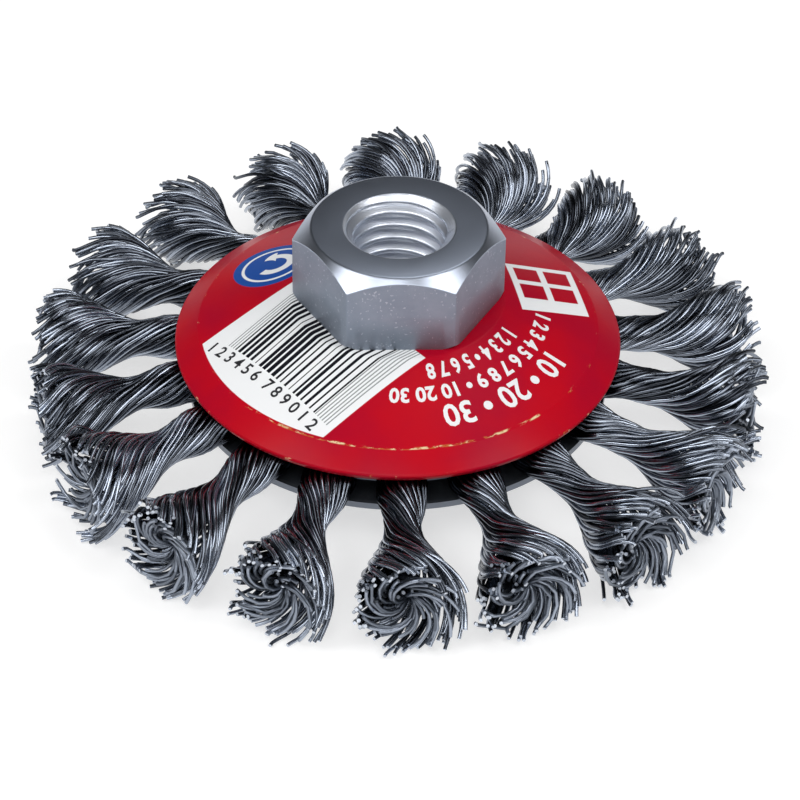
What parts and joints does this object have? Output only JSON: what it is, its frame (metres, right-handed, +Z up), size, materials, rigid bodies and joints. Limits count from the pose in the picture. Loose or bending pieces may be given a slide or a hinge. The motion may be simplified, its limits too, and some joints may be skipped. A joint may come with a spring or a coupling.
{
  "type": "conical wire brush",
  "caption": "Conical brush of twisted steel wire knots under a pressed red cup, with a threaded hexagonal nut for an angle grinder.",
  "frame": {"origin": "on the axis of the thread, on the plane that the lowest wire tips rest on", "axes": "+Z runs up the axis out of the nut; +X is across a pair of the nut's corners, turned 1.8 degrees"},
  "size_m": [0.0958, 0.0954, 0.031],
  "materials": {
    "zinc_plate": "bright zinc plating with turned and drawn marks",
    "red_enamel": "glossy red enamel with white printed fields",
    "dark_steel": "dark oiled sheet steel",
    "steel_wire": "hard drawn bright steel wire"
  },
  "bodies": {
    "root": {"hub_nut": "zinc_plate", "top_cup": "red_enamel", "tuft_disc": "dark_steel", "back_plate": "dark_steel", "knot_01": "steel_wire", "knot_02": "steel_wire", "knot_03": "steel_wire", "knot_04": "steel_wire", "knot_05": "steel_wire", "knot_06": "steel_wire", "knot_07": "steel_wire", "knot_08": "steel_wire", "knot_09": "steel_wire", "knot_10": "steel_wire", "knot_11": "steel_wire", "knot_12": "steel_wire", "knot_13": "steel_wire", "knot_14": "steel_wire", "knot_15": "steel_wire", "knot_16": "steel_wire", "knot_17": "steel_wire", "knot_18": "steel_wire"}
  },
  "joints": []
}
